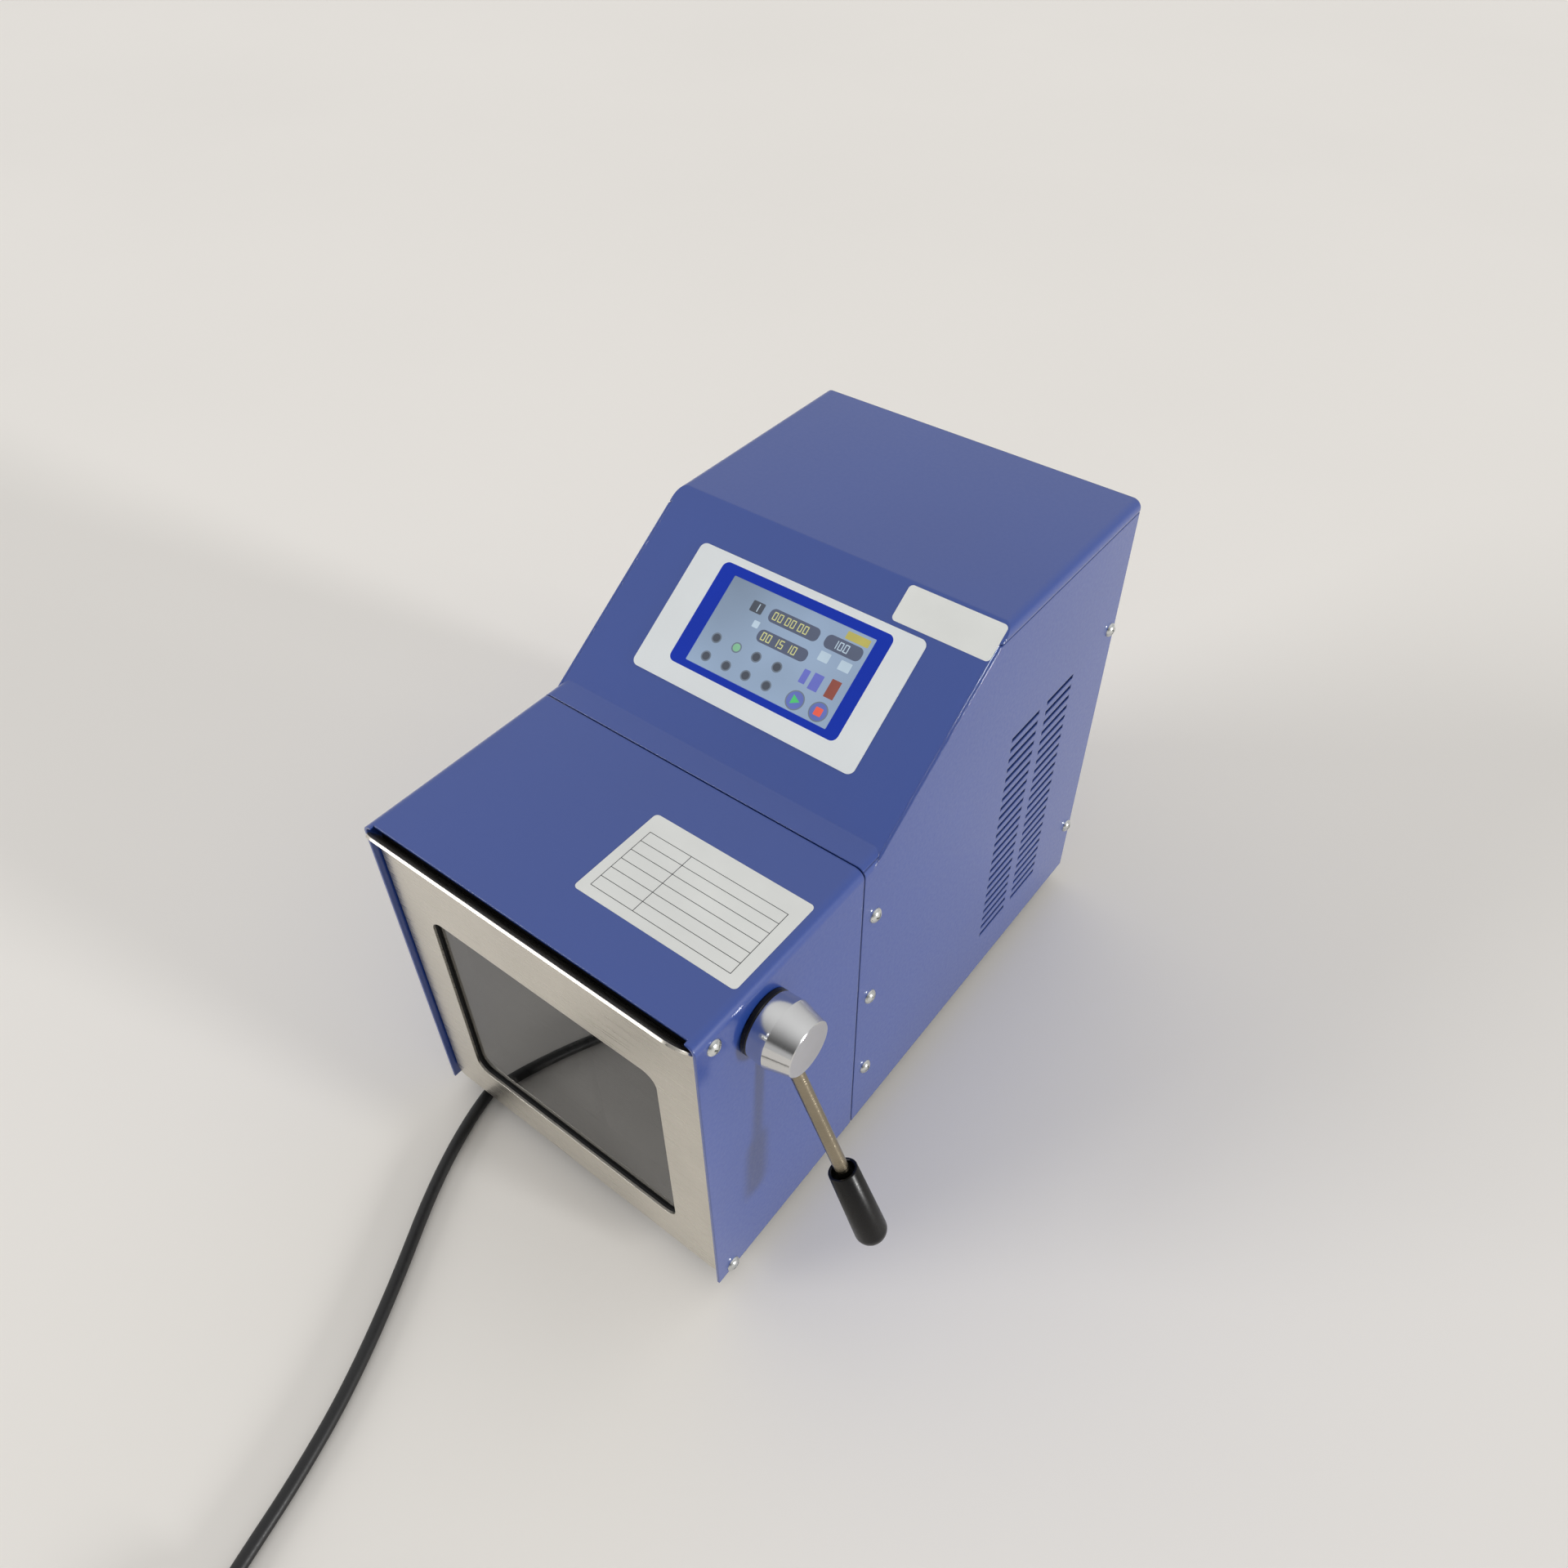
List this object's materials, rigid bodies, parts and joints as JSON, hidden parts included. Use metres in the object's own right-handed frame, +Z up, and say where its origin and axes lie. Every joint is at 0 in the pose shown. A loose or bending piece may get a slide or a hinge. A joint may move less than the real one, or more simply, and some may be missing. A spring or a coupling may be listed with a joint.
{
  "type": "paddle blender",
  "caption": "Bench paddle blender: glazed steel door with side lever, blue sheet casing, sloped touch screen, and paddles driven by a belt and crank.",
  "frame": {"origin": "on the table, under the middle of the instrument's bounding box without its cord", "axes": "+Z up, +X to the right seen from the front, the door faces -Y"},
  "size_m": [0.2984, 0.8214, 0.3213],
  "materials": {
    "blue_paint": "semi-gloss powder coat",
    "steel": "brushed stainless",
    "polished": "turned and polished",
    "zinc": "zinc plated",
    "aluminium": "machined",
    "cast": "painted casting",
    "black_plastic": "moulded",
    "black_rubber": "matte rubber",
    "seal_rubber": "lip seal",
    "glass": "tinted glass",
    "screen": "lit display behind clear film",
    "overlay": "white printed film",
    "frame_blue": "blue printed film",
    "bronze": "sintered bronze",
    "board": "circuit board"
  },
  "bodies": {
    "casing": {"chamber_cover": "blue_paint", "housing_top": "blue_paint", "housing_side_left": "blue_paint", "housing_side_right": "blue_paint", "base_plate": "zinc", "rubber_feet": "black_rubber", "frame_posts": "zinc", "rear_panel": "blue_paint", "case_screws": "zinc", "hinge_pins": "steel", "chamber_liner": "steel", "clamp_bar": "steel", "clamp_strip": "seal_rubber", "shaft_bushes": "bronze", "guide_block": "aluminium", "rod_bushes": "bronze", "rod_seals": "seal_rubber", "crank_bearings": "steel", "bearing_blocks": "aluminium", "drive_belt": "black_rubber", "motor_housing": "cast", "motor_bracket": "zinc", "power_board": "board", "board_standoffs": "zinc", "screen_overlay": "overlay", "screen_frame": "frame_blue", "touch_screen": "screen", "display_module": "black_plastic", "fan_frame": "black_plastic", "fan_guard": "polished", "switch_body": "black_plastic", "fuse_holder": "black_plastic", "strain_relief": "black_rubber", "mains_cord": "black_rubber", "cord_coil": "black_rubber", "mains_plug": "black_rubber"},
    "door": {"door_panel": "steel", "window_gasket": "black_rubber", "window_glass": "glass", "window_frame": "black_plastic", "frame_nuts": "zinc", "catch_pins": "steel"},
    "lever": {"lever_hub": "polished", "lever_rod": "polished", "lever_grip": "black_plastic", "lever_shaft": "steel", "latch_hooks": "steel"},
    "left_paddle": {"paddle_left": "steel", "push_rod_left": "steel", "yoke_left": "aluminium"},
    "right_paddle": {"paddle_right": "steel", "push_rod_right": "steel", "yoke_right": "aluminium"},
    "crank": {"crankshaft": "steel", "crank_rollers": "steel", "driven_pulley": "aluminium"},
    "motor_rotor": {"motor_shaft": "steel", "motor_pulley": "aluminium"},
    "fan": {"fan_rotor": "black_plastic"},
    "rocker": {"switch_rocker": "black_plastic"}
  },
  "joints": [
    {"name": "door_hinge", "type": "hinge", "parent": "casing", "child": "door", "pos_m": [-0.03604, -0.18601, 0.0188], "axis": [1, 0, 0], "range_deg": [0, 87]},
    {"name": "lever_turn", "type": "hinge", "parent": "casing", "child": "lever", "pos_m": [-0.03604, -0.15201, 0.2178], "axis": [-1, 0, 0], "range_deg": [0, 100]},
    {"name": "crank_turn", "type": "hinge", "parent": "casing", "child": "crank", "pos_m": [-0.03604, -0.04971, 0.1193], "axis": [-1, 0, 0], "range_deg": [-60, 60]},
    {"name": "left_stroke", "type": "slide", "parent": "casing", "child": "left_paddle", "axis": [0, 1, 0], "range_m": [-0.0108, 0.0108]},
    {"name": "right_stroke", "type": "slide", "parent": "casing", "child": "right_paddle", "axis": [0, 1, 0], "range_m": [-0.0108, 0.0108]},
    {"name": "motor_turn", "type": "hinge", "parent": "casing", "child": "motor_rotor", "pos_m": [-0.03604, 0.06649, 0.0663], "axis": [-1, 0, 0], "range_deg": [-185, 185]},
    {"name": "fan_turn", "type": "hinge", "parent": "casing", "child": "fan", "pos_m": [-0.03604, 0.18449, 0.2243], "axis": [0, 1, 0], "continuous": true},
    {"name": "rocker_tilt", "type": "hinge", "parent": "casing", "child": "rocker", "pos_m": [-0.09804, 0.19329, 0.0863], "axis": [-1, 0, 0], "range_deg": [0, 18]}
  ],
  "couplings": [
    {"joint": "right_stroke", "follows": "left_stroke", "ratio": -1},
    {"joint": "crank_turn", "follows": "left_stroke", "rad_per_m": 96.899},
    {"joint": "motor_turn", "follows": "left_stroke", "rad_per_m": 290.7}
  ]
}
